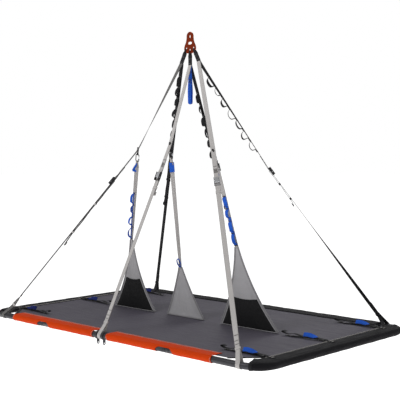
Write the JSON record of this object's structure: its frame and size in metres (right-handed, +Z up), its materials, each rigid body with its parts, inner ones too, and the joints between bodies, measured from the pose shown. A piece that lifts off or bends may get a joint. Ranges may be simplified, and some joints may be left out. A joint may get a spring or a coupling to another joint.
{
  "type": "hanging double portaledge",
  "caption": "Hanging climbing bivouac platform: fabric bed on a tubular frame, slung from a rigging plate by webbing straps with cam buckles, with fins clipped over the bed.",
  "frame": {"origin": "centre of the rigging plate's top eye, which the whole ledge hangs from", "axes": "+X along the bed's long side, +Y towards the wall side of the bed, +Z up"},
  "size_m": [2.0772, 1.247, 1.6495],
  "materials": {
    "red_aluminium": "anodised, satin",
    "dark_tube": "hard anodised, satin",
    "steel": "brushed",
    "black_metal": "powder coated",
    "bed_fabric": "coated plain weave",
    "orange_fabric": "coated ballistic weave",
    "black_fabric": "coated ballistic weave",
    "grey_ripstop": "ripstop",
    "grey_webbing": "flat webbing",
    "black_webbing": "flat webbing",
    "blue_webbing": "flat webbing"
  },
  "bodies": {
    "ledge": {"rigging_plate": "red_aluminium", "header_left": "black_webbing", "header_middle": "black_webbing", "header_right": "black_webbing", "upper_strap_near_left": "grey_webbing", "lower_strap_near_left": "grey_webbing", "buckle_near_left": "black_metal", "upper_strap_near_middle": "grey_webbing", "lower_strap_near_middle": "grey_webbing", "buckle_near_middle": "black_metal", "upper_strap_near_right": "grey_webbing", "lower_strap_near_right": "grey_webbing", "buckle_near_right": "black_metal", "upper_strap_far_left": "black_webbing", "lower_strap_far_left": "black_webbing", "buckle_far_left": "black_metal", "upper_strap_far_middle": "black_webbing", "lower_strap_far_middle": "black_webbing", "buckle_far_middle": "black_metal", "upper_strap_far_right": "black_webbing", "lower_strap_far_right": "black_webbing", "buckle_far_right": "black_metal", "corner_tube_near_left": "dark_tube", "corner_tube_near_right": "dark_tube", "corner_tube_far_left": "dark_tube", "corner_tube_far_right": "dark_tube", "side_tube_near": "dark_tube", "side_tube_far": "dark_tube", "spreader_bar": "dark_tube", "bed_panel": "bed_fabric", "near_sleeve_left": "orange_fabric", "near_sleeve_right": "orange_fabric", "far_sleeve": "black_fabric", "end_sleeve_left": "black_fabric", "end_sleeve_right": "black_fabric", "fin_left": "grey_ripstop", "fin_strap_left": "grey_webbing", "clip_left": "black_metal", "fin_middle": "grey_ripstop", "fin_strap_middle": "grey_webbing", "clip_middle": "black_metal", "fin_right": "grey_ripstop", "fin_strap_right": "grey_webbing", "clip_right": "black_metal", "tensioner_left_near": "black_webbing", "tensioner_left_middle": "black_webbing", "tensioner_left_far": "black_webbing", "tensioner_right_near": "black_webbing", "tensioner_right_middle": "black_webbing", "tensioner_right_far": "black_webbing"},
    "cam_lever_near_left": {"cam_near_left": "steel"},
    "cam_lever_near_middle": {"cam_near_middle": "steel"},
    "cam_lever_near_right": {"cam_near_right": "steel"},
    "cam_lever_far_left": {"cam_far_left": "steel"},
    "cam_lever_far_middle": {"cam_far_middle": "steel"},
    "cam_lever_far_right": {"cam_far_right": "steel"},
    "gate_left": {"clip_gate_left": "steel"},
    "gate_middle": {"clip_gate_middle": "steel"},
    "gate_right": {"clip_gate_right": "steel"},
    "sling": {"grab_sling": "blue_webbing"}
  },
  "joints": [
    {"name": "cam_near_left_release", "type": "hinge", "parent": "ledge", "child": "cam_lever_near_left", "pos_m": [-0.43141, -0.20486, -0.79928], "axis": [0.583, -0.8109, 0.0504], "range_deg": [0, 65], "stiffness_Nm_per_rad": 0.12, "springref_deg": -20.05},
    {"name": "cam_near_middle_release", "type": "hinge", "parent": "ledge", "child": "cam_lever_near_middle", "pos_m": [-0.0263, -0.22838, -0.7678], "axis": [0.9993, -0.0161, -0.0342], "range_deg": [0, 65], "stiffness_Nm_per_rad": 0.12, "springref_deg": -20.05},
    {"name": "cam_near_right_release", "type": "hinge", "parent": "ledge", "child": "cam_lever_near_right", "pos_m": [0.39488, -0.21327, -0.78559], "axis": [0.7546, 0.6374, 0.1563], "range_deg": [0, 65], "stiffness_Nm_per_rad": 0.12, "springref_deg": -20.05},
    {"name": "cam_far_left_release", "type": "hinge", "parent": "ledge", "child": "cam_lever_far_left", "pos_m": [-0.40809, 0.24947, -0.71611], "axis": [-0.8739, -0.1044, 0.4747], "range_deg": [0, 65], "stiffness_Nm_per_rad": 0.12, "springref_deg": -20.05},
    {"name": "cam_far_middle_release", "type": "hinge", "parent": "ledge", "child": "cam_lever_far_middle", "pos_m": [-0.02241, 0.24922, -0.72436], "axis": [-0.9696, 0.2081, 0.1291], "range_deg": [0, 65], "stiffness_Nm_per_rad": 0.12, "springref_deg": -20.05},
    {"name": "cam_far_right_release", "type": "hinge", "parent": "ledge", "child": "cam_lever_far_right", "pos_m": [0.39177, 0.23714, -0.74208], "axis": [-0.6195, 0.7846, -0.0244], "range_deg": [0, 65], "stiffness_Nm_per_rad": 0.12, "springref_deg": -20.05},
    {"name": "gate_left_open", "type": "hinge", "parent": "ledge", "child": "gate_left", "pos_m": [-0.31793, -0.09705, -0.67613], "axis": [0, -0.9802, -0.1982], "range_deg": [0, 40], "stiffness_Nm_per_rad": 0.04, "springref_deg": -17.19},
    {"name": "gate_middle_open", "type": "hinge", "parent": "ledge", "child": "gate_middle", "pos_m": [-0.01284, -0.12758, -0.65685], "axis": [0, -0.9798, -0.2], "range_deg": [0, 40], "stiffness_Nm_per_rad": 0.04, "springref_deg": -17.19},
    {"name": "gate_right_open", "type": "hinge", "parent": "ledge", "child": "gate_right", "pos_m": [0.3099, -0.1189, -0.68056], "axis": [0, -0.9678, -0.2516], "range_deg": [0, 40], "stiffness_Nm_per_rad": 0.04, "springref_deg": -17.19},
    {"name": "sling_swing", "type": "hinge", "parent": "ledge", "child": "sling", "pos_m": [0, 0, -0.1595], "axis": [1, 0, 0], "range_deg": [-14, 14]}
  ]
}
